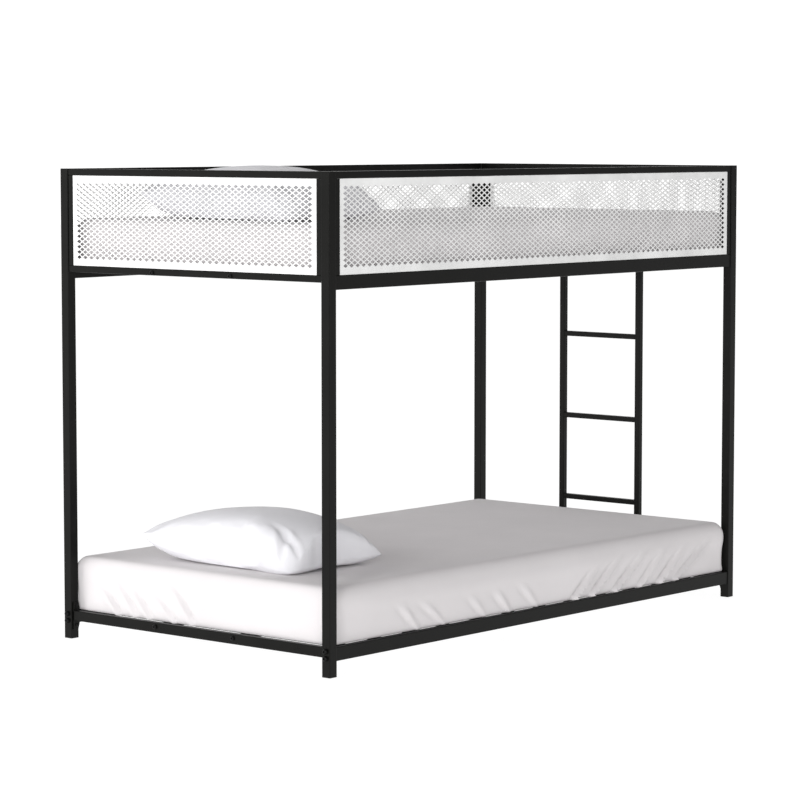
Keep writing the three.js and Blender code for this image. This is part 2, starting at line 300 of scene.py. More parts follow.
def bolt_material(name):
    """Black oxide: darker and glossier than the coat, with turning marks."""
    finish = Finish(name)
    grain = finish.noise(260.0, 3.0, 0.6)
    return finish.shaded({
        "Metallic": 0.5,
        "Specular IOR Level": 0.3,
        "Base Color": finish.tones(grain, [0.004] * 3, [0.014] * 3),
        "Roughness": finish.between(grain, 0.3, 0.5),
        "Normal": finish.bump(grain, 0.2, 0.0002),
    })


def plastic_material(name):
    """Moulded black plastic with a fine spark-eroded grain."""
    finish = Finish(name)
    values = {"Vector": finish.place, "Scale": 900.0}
    grain = finish.add("ShaderNodeTexVoronoi", values).outputs["Distance"]
    return finish.shaded({
        "Specular IOR Level": 0.3,
        "Base Color": finish.tones(grain, [0.006] * 3, [0.012] * 3),
        "Roughness": 0.62,
        "Normal": finish.bump(grain, 0.3, 0.0002),
    })


def cotton_material(name, colour, thread, sheen):
    """Plain woven cotton: crossed sets of threads, soft unevenness and a faint sheen."""
    finish = Finish(name)
    cloud = finish.noise(5.0, 5.0, 0.55)
    darker = [0.975 * c for c in colour]
    lighter = [min(1.0, 1.02 * c) for c in colour]
    waves = {"Vector": finish.place, "Scale": 0.314 / thread, "Distortion": 0.6}
    waves.update({"Detail": 1.0, "Detail Scale": 2.0})
    height = None
    for direction in ("X", "Y", "Z"):
        threads = finish.add("ShaderNodeTexWave", waves, bands_direction=direction).outputs["Fac"]
        if height is not None:
            threads = finish.add("ShaderNodeMath", {0: height, 1: threads}).outputs["Value"]
        height = threads
    slub = finish.noise(160.0, 3.0, 0.6)
    whole = finish.add("ShaderNodeMath", {0: slub, 1: 1.6, 2: height}, operation="MULTIPLY_ADD")
    return finish.shaded({
        "Specular IOR Level": 0.2,
        "Sheen Weight": sheen,
        "Sheen Roughness": 0.45,
        "Base Color": finish.tones(cloud, darker, lighter, 0.3, 0.7),
        "Roughness": finish.between(cloud, 0.78, 0.94),
        "Normal": finish.bump(whole.outputs["Value"], 0.22, 0.00025),
    })


def floor_material(name, colour):
    """Studio floor lit from below, so that only the softest shade is left under the bed."""
    finish = Finish(name)
    darker = [0.97 * c for c in colour]
    return finish.shaded({
        "Base Color": finish.tones(finish.noise(1.5, 2.0), darker, colour),
        "Roughness": 0.9,
        "Specular IOR Level": 0.1,
        "Emission Color": (*WHITE, 1),
        "Emission Strength": 0.92,
    })


FINISHES = {}


def finish_of(name):
    """The named finish, made the first time that it is asked for."""
    if name not in FINISHES:
        scene = bpy.context.scene
        steel = scene.bunk_bed_steel
        guard = scene.bunk_bed_guard
        bedding = scene.bunk_bed_bedding
        maker, values = {
            "frame coat": (coat_material, (steel.coat_colour, steel.coat_roughness, 0.13, 0.05)),
            "guard coat": (coat_material, (guard.colour, 0.5, 0.3)),
            "bolt black": (bolt_material, ()),
            "foot plastic": (plastic_material, ()),
            "mattress cotton": (cotton_material, (bedding.mattress_colour, 0.0009, 0.12)),
            "pillow cotton": (cotton_material, (bedding.pillow_colour, 0.0007, 0.18)),
        }[name]
        FINISHES[name] = maker(name, *values)
    return FINISHES[name]


# Mesh helpers


def object_from(name, made):
    """A new object at the origin from a bmesh, which is freed."""
    mesh = bpy.data.meshes.new(name)
    made.to_mesh(mesh)
    made.free()
    piece = bpy.data.objects.new(name, mesh)
    bpy.context.scene.collection.objects.link(piece)
    return piece


def bake(piece):
    """Turns a piece's modifiers into plain mesh and takes them off."""
    bpy.context.view_layer.update()
    graph = bpy.context.evaluated_depsgraph_get()
    mesh = bpy.data.meshes.new_from_object(piece.evaluated_get(graph), depsgraph=graph)
    old = piece.data
    piece.modifiers.clear()
    piece.data = mesh
    mesh.name = piece.name
    if old.users == 0:
        bpy.data.meshes.remove(old)
    return piece


def coat(mesh, finish):
    mesh.materials.clear()
    mesh.materials.append(finish_of(finish))


def settle(piece, body, nodes=()):
    """Hands a finished piece to its body, and hides the nodes that it stands for."""
    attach(piece, body)
    if nodes:
        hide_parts(*nodes)


def shade_metal(piece, finish, angle=50.0):
    """Flat faces stay flat and rounded edges shine."""
    mesh = piece.data
    coat(mesh, finish)
    mesh.shade_smooth()
    mesh.set_sharp_from_angle(angle=math.radians(angle))
    weigh = piece.modifiers.new("flat faces", "WEIGHTED_NORMAL")
    weigh.keep_sharp = True
    weigh.weight = 100
    bake(piece)


def soften(piece, width):
    """Rounds the sharp edges of a piece."""
    edge = piece.modifiers.new("edges", "BEVEL")
    edge.width = width
    edge.segments = 2
    edge.limit_method = "ANGLE"
    edge.angle_limit = math.radians(40)
    bake(piece)


def steel_piece(name, made, nodes, edge=None):
    """Coated steel on the frame's body, in place of the given nodes."""
    piece = object_from(name, made)
    if edge:
        soften(piece, edge)
    shade_metal(piece, "frame coat")
    settle(piece, "frame", nodes)


def rounded_loop(half_x, half_y, radius):
    """Points round a rounded rectangle, anticlockwise."""
    points = []
    for turn, (sx, sy) in enumerate(((1, 1), (-1, 1), (-1, -1), (1, -1))):
        centre = Vector((sx * (half_x - radius), sy * (half_y - radius)))
        for k in range(CORNER_STEPS + 1):
            angle = QUARTER_TURN * (turn + k / CORNER_STEPS)
            points.append(centre + radius * Vector((math.cos(angle), math.sin(angle))))
    return points


def ring(made, points, height, place):
    return [made.verts.new(place @ Vector((x, y, height))) for x, y in points]


def skin(made, low, high):
    """Quads between two rings of equal length."""
    for i in range(len(low)):
        j = (i + 1) % len(low)
        made.faces.new((low[i], low[j], high[j], high[i]))


def skin_closed(made, rings):
    """A closed shell over a stack of rings."""
    for a, b in zip(rings, rings[1:]):
        skin(made, a, b)
    made.faces.new(rings[0][::-1])
    made.faces.new(rings[-1])


# Turn a drawing on X and Y, with its height on Z, so that its height runs along one axis.
DIRECTION = {
    "x": Matrix(((0, 0, 1, 0), (1, 0, 0, 0), (0, 1, 0, 0), (0, 0, 0, 1))),
    "y": Matrix(((0, 1, 0, 0), (0, 0, 1, 0), (1, 0, 0, 0), (0, 0, 0, 1))),
    "z": Matrix.Identity(4),
}
# Turns a drawing on X and Y upright: its Y points up, and its height runs towards -Y.
UPRIGHT = Matrix(((1, 0, 0, 0), (0, 0, -1, 0), (0, 1, 0, 0), (0, 0, 0, 1)))


def add_tube(made, low, high, direction, steel, corner=None):
    """A hollow square tube with open ends between two corners, running in one direction."""
    corner = corner or steel.corner_radius
    wall = steel.wall
    turn = DIRECTION[direction]
    half = Vector([abs(value) / 2 for value in turn.transposed() @ (high - low)])
    place = Matrix.Translation((low + high) / 2) @ turn
    outer = rounded_loop(half.x, half.y, corner)
    inner = rounded_loop(half.x - wall, half.y - wall, max(corner - wall, 0.0004))
    ends = ((outer, -half.z), (outer, half.z), (inner, half.z), (inner, -half.z))
    rings = [ring(made, points, height, place) for points, height in ends]
    for a, b in zip(rings, rings[1:] + rings[:1]):
        skin(made, a, b)


def tube_piece(node, direction, steel, corner=None):
    """One straight tube that fills its node's box."""
    made = bmesh.new()
    add_tube(made, *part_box(node), direction, steel, corner)
    steel_piece(f"{node}_tube", made, [node])


def add_plate(made, outline, thickness, place):
    """A flat plate: an outline in its own plane, given a thickness."""
    skin_closed(made, [ring(made, outline, height, place) for height in (0, thickness)])


def corner_boxes(kind):
    """The nodes of one kind at the four corners: name, half size, middle on the floor, Z range."""
    for (end, _), (side, _) in product(ENDS, SIDES):
        node = f"{end}_{side}_{kind}"
        low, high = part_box(node)
        middle = (low + high) / 2
        place = Matrix.Translation((middle.x, middle.y, 0))
        yield node, (high - low) / 2, place, low.z, high.z


# Trees for what repeats


def perforation_tree():
    """Cells on two staggered grids, joined to the solid border that comes in."""
    tree = Pattern("perforation", {
        "Cell": "Object", "Columns": "Int", "Rows": "Int",
        "Pitch along": "Float", "Pitch up": "Float", "Coat": "Material",
    })
    given = tree.given

    def figure(operation, first, second):
        return tree.add("ShaderNodeMath", {0: first, 1: second}, operation=operation).outputs[0]

    parts = [given["Geometry"]]
    for fewer in (0.0, 1.0):
        values = {}
        for axis, count, pitch in (("X", "Columns", "Pitch along"), ("Y", "Rows", "Pitch up")):
            points = figure("SUBTRACT", given[count], fewer)
            gaps = figure("SUBTRACT", points, 1.0)
            values[f"Vertices {axis}"] = points
            values[f"Size {axis}"] = figure("MULTIPLY", gaps, given[pitch])
        grid = tree.add("GeometryNodeMeshGrid", values)
        parts.append(tree.real(tree.copies(grid.outputs["Mesh"], "Cell")))
    values = {"Geometry": tree.joined(*parts), "Distance": 0.00004}
    merged = tree.add("GeometryNodeMergeByDistance", values)
    return tree.close(merged.outputs["Geometry"])


def row_tree():
    """Copies of one piece in a row, beside what comes in."""
    inputs = {"Slat": "Object", "Count": "Int", "Start": "Vector", "Step": "Vector"}
    tree = Pattern("row of slats", {**inputs, "Coat": "Material"})
    given = tree.given
    values = {"Count": given["Count"], "Start Location": given["Start"], "Offset": given["Step"]}
    line = tree.add("GeometryNodeMeshLine", values, mode="OFFSET")
    copies = tree.copies(line.outputs["Mesh"], "Slat")
    return tree.close(tree.joined(given["Geometry"], copies))


def bolt_tree():
    """A bolt at each point, turned so that its head looks the way that the point faces."""
    tree = Pattern("bolts", {"Bolt": "Object", "Coat": "Material"})
    facing = tree.add(
        "GeometryNodeInputNamedAttribute", {"Name": "facing"}, data_type="FLOAT_VECTOR")
    values = {"Vector": facing.outputs["Attribute"]}
    turn = tree.add("FunctionNodeAlignRotationToVector", values, axis="Z")
    return tree.close(
        tree.copies(tree.given["Geometry"], "Bolt", Rotation=turn.outputs["Rotation"]))


# Frame


class BED_OT_posts(bpy.types.Operator):
    """Four square posts, closed and rounded over at the top"""

    bl_idname = "bunk_bed.posts"
    bl_label = "Posts"

    CROWN = 0.0012
    CROWN_STEPS = 3

    def execute(self, context):
        steel = context.scene.bunk_bed_steel
        for node, half, place, bottom, top in corner_boxes("post"):
            shoulder = top - self.CROWN
            profile = [(steel.wall, top - steel.wall), (steel.wall, bottom), (0, bottom)]
            for k in range(self.CROWN_STEPS + 1):
                angle = QUARTER_TURN * k / self.CROWN_STEPS
                rise = self.CROWN * math.sin(angle)
                profile.append((self.CROWN * (1 - math.cos(angle)), shoulder + rise))
            made = bmesh.new()
            rings = []
            for inset, height in profile:
                radius = steel.corner_radius - inset
                loop = rounded_loop(half.x - inset, half.y - inset, radius)
                rings.append(ring(made, loop, height, place))
            skin_closed(made, rings)
            steel_piece(f"{node}_tube", made, [node])
        return {"FINISHED"}


class BED_OT_feet(bpy.types.Operator):
    """Moulded plastic plugs under the posts"""

    bl_idname = "bunk_bed.feet"
    bl_label = "Feet"

    FLANGE = 0.0030
    EASED = 0.0012
    PLUG_INSET = 0.0018
    RADIUS = 0.0020

    def execute(self, context):
        for node, half, place, bottom, top in corner_boxes("foot"):
            profile = (
                (self.EASED, bottom),
                (0.0003, bottom + 0.0004),
                (0, bottom + self.EASED),
                (0, bottom + self.FLANGE),
                (self.PLUG_INSET, bottom + self.FLANGE),
                (self.PLUG_INSET, top - self.EASED),
                (self.PLUG_INSET + 0.0010, top),
            )
            made = bmesh.new()
            rings = []
            for inset, height in profile:
                loop = rounded_loop(half.x - inset, half.x - inset, self.RADIUS)
                rings.append(ring(made, loop, height, place))
            skin_closed(made, rings)
            foot = object_from(f"{node}_glide", made)
            shade_metal(foot, "foot plastic", 60)
            settle(foot, "frame", [node])
        return {"FINISHED"}


class BED_OT_rails(bpy.types.Operator):
    """Long rails with their ledges, deck rails, guard rails and stiles"""

    bl_idname = "bunk_bed.rails"
    bl_label = "Rails"

    LEDGE_DROP = 0.0053
    LEDGE_THICKNESS = 0.0020
    WELD = 0.0002  # how far the ledge reaches into the tube's wall

    def long_rail(self, node, side, steel):
        """A tube flush with the outside, and the ledge inside it that carries the slats."""
        low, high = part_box(node)
        face, edge = (low.y, high.y) if side < 0 else (high.y, low.y)
        inside = face - side * steel.tube_size
        made = bmesh.new()
        tube_low = Vector((low.x, min(face, inside), low.z))
        add_tube(made, tube_low, Vector((high.x, max(face, inside), high.z)), "x", steel)
        top = high.z - self.LEDGE_DROP
        under = top - self.LEDGE_THICKNESS
        near = inside + side * self.WELD
        ledge = [(near, under), (edge, under), (edge, top), (near, top)]
        place = Matrix.Translation((low.x, 0, 0)) @ DIRECTION["x"]
        add_plate(made, ledge[:: -side], high.x - low.x, place)
        steel_piece(f"{node}_tube_and_ledge", made, [node])

    def execute(self, context):
        steel = context.scene.bunk_bed_steel
        for side, sign in SIDES:
            for level in ("upper", "lower"):
                self.long_rail(f"{level}_{side}_rail", sign, steel)
            tube_piece(f"{side}_guard_top_rail", "x", steel)
            for end, _ in ENDS:
                tube_piece(f"{side}_guard_{end}_stile", "z", steel)
                tube_piece(f"{end}_guard_{side}_stile", "z", steel)
        for end, _ in ENDS:
            tube_piece(f"{end}_guard_top_rail", "y", steel)
            tube_piece(f"{end}_deck_rail", "y", steel)
        return {"FINISHED"}


class BED_OT_lower_end_rails(bpy.types.Operator):
    """Lower end rails with an ear plate at each end, bolted to the posts"""

    bl_idname = "bunk_bed.lower_end_rails"
    bl_label = "Lower end rails"

    TUBE_HEIGHT = 0.030
    EAR_THICKNESS = 0.004
    EAR_TAPER = 0.005
    EAR_RISE = 0.016
    INSET = 0.0005  # how far inside the ears' outer faces the tube ends

    def execute(self, context):
        steel = context.scene.bunk_bed_steel
        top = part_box("lower_front_rail")[1].z
        for end, sign in ENDS:
            node = f"{end}_lower_rail"
            low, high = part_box(node)
            outer, inner = (low.x, high.x) if sign < 0 else (high.x, low.x)
            near, far = sorted((outer, outer - sign * steel.tube_size))
            made = bmesh.new()
            tube_low = Vector((near, low.y + self.INSET, top - self.TUBE_HEIGHT))
            add_tube(made, tube_low, Vector((far, high.y - self.INSET, top)), "y", steel)
            lead = inner + sign * self.EAR_TAPER
            outline = [
                (outer, low.z),
                (lead, low.z),
                (inner, low.z + self.EAR_RISE),
                (inner, high.z - self.EAR_RISE),
                (lead, high.z),
                (outer, high.z),
            ]
            for back in (low.y + self.EAR_THICKNESS, high.y):
                place = Matrix.Translation((0, back, 0)) @ UPRIGHT
                add_plate(made, outline[:: -sign], self.EAR_THICKNESS, place)
            steel_piece(f"{node}_with_ears", made, [node], edge=0.0007)
        return {"FINISHED"}


class BED_OT_ladder(bpy.types.Operator):
    """The foot end's ladder: two rails and three rungs of square tube"""

    bl_idname = "bunk_bed.ladder"
    bl_label = "Ladder"

    CORNER_RADIUS = 0.0028

    def execute(self, context):
        steel = context.scene.bunk_bed_steel
        for side, _ in SIDES:
            tube_piece(f"ladder_{side}_rail", "z", steel, self.CORNER_RADIUS)
        for step in (1, 2, 3):
            tube_piece(f"ladder_rung_{step}", "y", steel, self.CORNER_RADIUS)
        return {"FINISHED"}


class BED_OT_slats(bpy.types.Operator):
    """Slat bases: pressed channels welded across two lengthwise bars"""

    bl_idname = "bunk_bed.slats"
    bl_label = "Slat bases"

    DEPTH = 0.005
    BEND = 0.0014
    END_GAP = 0.045
    BARS = (-0.155, 0.155)
    BAR_HALF_WIDTH = 0.0125

    def slat(self, length, steel):
        """One channel slat, its top on Z = 0, running along Y."""
        half, wall, bend = steel.slat_width / 2, steel.wall, self.BEND
        outline = [(half, -self.DEPTH)]
        for centre, start in ((half - bend, 0), (-half + bend, 90)):
            for k in range(4):
                angle = math.radians(start + 30 * k)
                outline.append((centre + bend * math.cos(angle), bend * math.sin(angle) - bend))
        outline += [(-half, -self.DEPTH), (wall - half, -self.DEPTH), (wall - half, -wall)]
        outline += [(half - wall, -wall), (half - wall, -self.DEPTH)]
        made = bmesh.new()
        add_plate(made, outline, length, Matrix.Translation((0, length / 2, 0)) @ UPRIGHT)
        return object_from("slat_pattern", made)

    def execute(self, context):
        steel = context.scene.bunk_bed_steel
        tree = row_tree()
        for level in ("upper", "lower"):
            node = f"{level}_slat_base"
            low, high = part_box(node)
            made = bmesh.new()
            for y in self.BARS:
                bar_low = Vector((low.x, y - self.BAR_HALF_WIDTH, low.z))
                bar_high = Vector((high.x, y + self.BAR_HALF_WIDTH, high.z - self.DEPTH))
                add_tube(made, bar_low, bar_high, "x", steel)
            base = object_from(f"{node}_bars_and_slats", made)
            slat = self.slat(high.y - low.y, steel)
            step = (high.x - low.x - 2 * self.END_GAP) / (steel.slat_count - 1)
            tree.run(
                base,
                Slat=slat,
                Count=steel.slat_count,
                Start=(low.x + self.END_GAP, 0.0, high.z),
                Step=(step, 0.0, 0.0),
                Coat=finish_of("frame coat"),
            )
            bpy.data.objects.remove(slat)
            shade_metal(base, "frame coat", 35)
            settle(base, "frame", [node])
        return {"FINISHED"}


class BED_OT_guard_panels(bpy.types.Operator):
    """White sheet steel with staggered rows of diamond holes, one panel on each side"""

    bl_idname = "bunk_bed.guard_panels"
    bl_label = "Guard panels"

    THICKNESS = 0.0015
    BORDER_ALONG = 0.020  # the least that stays solid, both edges together
    BORDER_UP = 0.030

    def cell(self, along, up, openness):
        """The sheet round one hole: a diamond with a diamond cut out of it."""
        made = bmesh.new()
        corners = ((along / 2, 0), (0, up / 2), (-along / 2, 0), (0, -up / 2))
        hole = [(x * openness, y * openness) for x, y in corners]
        low, high = -self.THICKNESS / 2, self.THICKNESS / 2
        walls = ((corners, high), (hole, high), (hole, low), (corners, low))
        rings = [ring(made, points, z, Matrix.Identity(4)) for points, z in walls]
        for a, b in zip(rings, rings[1:]):
            skin(made, a, b)
        return object_from("perforation_pattern", made)

    def border(self, half, counts, pitches):
        """The solid border, toothed inside so that the outermost cells fit into it."""
        field = [count * pitch / 2 for count, pitch in zip(counts, pitches)]
        xs, ys = (
            [(k - (count - 1) / 2) * pitch for k in range(count)]
            for count, pitch in zip(counts, pitches)
        )
        edge = [(-field[0], -field[1]), *[(x, -field[1]) for x in xs]]
        edge += [(field[0], -field[1]), *[(field[0], y) for y in ys]]
        edge += [(field[0], field[1]), *[(x, field[1]) for x in reversed(xs)]]
        edge += [(-field[0], field[1]), *[(-field[0], y) for y in reversed(ys)]]

        def on_edge(point, axis):
            return math.isclose(abs(point[axis]), field[axis], rel_tol=0, abs_tol=1e-9)

        def pushed(point, out):
            """A point of the field's edge, moved to where each edge that it lies on goes."""
            return tuple(
                math.copysign(out[axis], point[axis]) if on_edge(point, axis) else point[axis]
                for axis in (0, 1)
            )

        outside = [pushed(point, half) for point in edge]
        tips = [size - pitch / 2 for size, pitch in zip(field, pitches)]
        fills = []
        for k, a in enumerate(edge):
            b = edge[(k + 1) % len(edge)]
            fills.append((a, outside[k], outside[(k + 1) % len(edge)], b))
            if not any(on_edge(point, 0) and on_edge(point, 1) for point in (a, b)):
                middle = ((a[0] + b[0]) / 2, (a[1] + b[1]) / 2)
                fills.append((a, b, pushed(middle, tips)))
        for sx, sy in product((-1, 1), repeat=2):
            corner = (sx * field[0], sy * field[1])
            fills.append((corner, (sx * xs[-1], corner[1]), (corner[0], sy * ys[-1])))

        made = bmesh.new()
        rims = []
        for z in (-self.THICKNESS / 2, self.THICKNESS / 2):
            verts = {}

            def vert(point):
                key = (round(point[0], 6), round(point[1], 6))
                if key not in verts:
                    verts[key] = made.verts.new((*point, z))
                return verts[key]

            for points in fills:
                (ax, ay), (bx, by), (cx, cy) = points[:3]
                anticlockwise = (bx - ax) * (cy - by) > (by - ay) * (cx - bx)
                made.faces.new([vert(p) for p in points[:: 1 if anticlockwise == (z > 0) else -1]])
            rims.append([vert(point) for point in outside])
        skin(made, *rims)
        return made

    def execute(self, context):
        guard = context.scene.bunk_bed_guard
        tree = perforation_tree()
        pitches = (guard.pitch_along, guard.pitch_up)
        for name in ("head", "foot", "front", "back"):
            node = f"{name}_guard_panel"
            low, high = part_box(node)
            size = high - low
            across_bed = name in ("head", "foot")
            width = size.y if across_bed else size.x
            columns = int((width - self.BORDER_ALONG) / guard.pitch_along)
            rows = int((size.z - self.BORDER_UP) / guard.pitch_up)
            border = self.border((width / 2, size.z / 2), (columns, rows), pitches)
            panel = object_from(f"{name}_perforated_sheet", border)
            cell = self.cell(*pitches, guard.openness)
            tree.run(
                panel,
                Cell=cell,
                Columns=columns,
                Rows=rows,
                Pitch_along=guard.pitch_along,
                Pitch_up=guard.pitch_up,
                Coat=finish_of("guard coat"),
            )
            bpy.data.objects.remove(cell)
            turn = DIRECTION["x"] if across_bed else UPRIGHT
            panel.data.transform(Matrix.Translation((low + high) / 2) @ turn)
            coat(panel.data, "guard coat")
            settle(panel, "frame", [node])
        return {"FINISHED"}


class BED_OT_bolts(bpy.types.Operator):
    """Socket bolts on the posts, on the end rails and on the ear plates"""

    bl_idname = "bunk_bed.bolts"
    bl_label = "Bolts"

    # Head's radius and height, socket's depth, shank's length and radius.
    SIZES = {
        "rail_bolts": (0.0076, 0.0088, 0.0045, 0.028, 0.0036),
        "deck_bar_bolts": (0.0070, 0.0056, 0.0032, 0.021, 0.0028),
        "lower_bar_bolts": (0.0070, 0.0056, 0.0032, 0.021, 0.0028),
        "ear_plate_bolts": (0.0058, 0.0036, 0.0022, 0.0035, 0.0028),
    }
    # The head's outline above its seat, as shares of its radius and height.
    HEAD = ((1.0, 0.0), (1.0, 0.45), (0.95, 0.72), (0.80, 0.92), (0.62, 1.0))
    STEPS = 24
    SOCKET = 0.44  # the hexagon's reach as a share of the head's radius
    EAR_THICKNESS = 0.004
    EAR_BOLT_INSET = 0.013

    def bolt(self, name, radius, height, socket, shank, shank_radius):
        """A round-headed bolt with a hexagon socket, its head on +Z and its seat on Z = 0."""
        made = bmesh.new()
        circle = [2 * math.pi * k / self.STEPS for k in range(self.STEPS)]
        round_points = [Vector((math.cos(angle), math.sin(angle))) for angle in circle]
        side_steps = self.STEPS // 6
        hexagon = round_points[::side_steps]
        flat_points = []
        for k in range(self.STEPS):
            side, step = divmod(k, side_steps)
            flat_points.append(hexagon[side].lerp(hexagon[(side + 1) % 6], step / side_steps))
        profile = [(round_points, shank_radius, -shank), (round_points, shank_radius, 0.0)]
        profile += [(round_points, radius * share, height * up) for share, up in self.HEAD]
        profile += [(flat_points, radius * self.SOCKET, height - depth) for depth in (0, socket)]
        place = Matrix.Identity(4)
        rings = [ring(made, [p * reach for p in points], z, place) for points, reach, z in profile]
        skin_closed(made, rings)
        return object_from(name, made)

    def row_of_bolts(self, name, places, nodes, tree):
        """Bolts at the given places, each with the way that its head faces."""
        made = bmesh.new()
        for point, _ in places:
            made.verts.new(point)
        bolts = object_from(name, made)
        facing = bolts.data.attributes.new("facing", "FLOAT_VECTOR", "POINT")
        facing.data.foreach_set("vector", [v for _, way in places for v in way])
        pattern = self.bolt(f"{name}_pattern", *self.SIZES[name])
        tree.run(bolts, Bolt=pattern, Coat=finish_of("bolt black"))
        bpy.data.objects.remove(pattern)
        shade_metal(bolts, "bolt black", 40)
        settle(bolts, "frame", nodes)

    def execute(self, context):
        places = {name: [] for name in self.SIZES}
        nodes = {name: [] for name in self.SIZES}
        for end, sign in ENDS:
            for side, _ in SIDES:
                seats = [
                    ("rail_bolts", f"{end}_{side}_rail_bolt_{number}", f"{end}_{side}_post")
                    for number in (1, 2)
                ]
                seats += [
                    ("deck_bar_bolts", f"{end}_upper_{side}_bar_bolt", f"{end}_deck_rail"),
                    ("lower_bar_bolts", f"{end}_lower_{side}_bar_bolt", f"{end}_lower_rail"),
                ]
                for name, node, seat in seats:
                    low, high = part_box(node)
                    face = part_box(seat)[int(sign > 0)].x
                    point = (face, (low.y + high.y) / 2, (low.z + high.z) / 2)
                    places[name].append((point, (float(sign), 0.0, 0.0)))
                    nodes[name].append(node)
            low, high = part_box(f"{end}_lower_rail")
            middle = (low.x + high.x) / 2 - sign * 0.001
            faces = ((low.y + self.EAR_THICKNESS, 1.0), (high.y - self.EAR_THICKNESS, -1.0))
            for face, way in faces:
                for height in (low.z + self.EAR_BOLT_INSET, high.z - self.EAR_BOLT_INSET):
                    places["ear_plate_bolts"].append(((middle, face, height), (0.0, way, 0.0)))
        tree = bolt_tree()
        for name in self.SIZES:
            self.row_of_bolts(name, places[name], nodes[name], tree)
        return {"FINISHED"}


# Bedding


def smoothstep(low, high, value):
    t = np.clip((value - low) / (high - low), 0.0, 1.0)
    return t * t * (3 - 2 * t)


def values_of(mesh, name):
    """One vector for each of a mesh's vertices: its place or its normal."""
    values = np.empty(len(mesh.vertices) * 3)
    mesh.vertices.foreach_get(name, values)
    return values.reshape(-1, 3)


def put_coordinates(mesh, values):
    mesh.vertices.foreach_set("co", values.ravel())
    mesh.update()


def filled_cloth(piece, pressure, frames, **settings):
    """Lets a cotton case fill under pressure, and keeps its last state as plain mesh."""
    cloth = piece.modifiers.new("cotton", "CLOTH")
    values = cloth.settings
    values.quality = 5
    values.use_pressure = True
    values.uniform_pressure_force = pressure
    values.effector_weights.gravity = 0.0
    values.air_damping = 4.0
    for key, value in settings.items():
        setattr(values, key, value)
    cloth.point_cache.frame_start = 1
    cloth.point_cache.frame_end = frames
    scene = bpy.context.scene
    for number in range(1, frames + 1):
        scene.frame_set(number)
    bake(piece)
    scene.frame_set(1)


def finer(piece):
    fine = piece.modifiers.new("finer", "SUBSURF")
    fine.levels = 1
    fine.render_levels = 1
    bake(piece)


def padded_piece(piece, node, finish):
    """A finished cushion on the body that has its node's name."""
    coat(piece.data, finish)
    piece.data.shade_smooth()
    settle(piece, node, [node])


